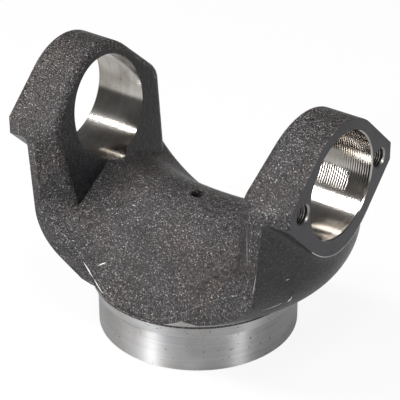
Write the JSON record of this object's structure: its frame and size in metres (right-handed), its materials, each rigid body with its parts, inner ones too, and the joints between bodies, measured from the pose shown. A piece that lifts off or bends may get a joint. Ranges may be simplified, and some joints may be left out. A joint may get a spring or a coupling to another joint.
{
  "type": "drive shaft weld yoke",
  "caption": "Forged U-shaped drive shaft yoke with two bored ears, blind bolt holes beside each bore, a domed saddle with a vent hole, and a turned ring for welding into a tube.",
  "frame": {"origin": "middle of the end face of the turned pilot ring, which the yoke stands on", "axes": "+X along the trunnion bores, +Z along the shaft axis from the tube end up to the ears"},
  "size_m": [0.1548, 0.101, 0.1267],
  "materials": {
    "forged_steel": "dark shot-blasted forging skin, with bright turned and bored surfaces"
  },
  "bodies": {
    "root": {"forged_yoke": "forged_steel"}
  },
  "joints": []
}
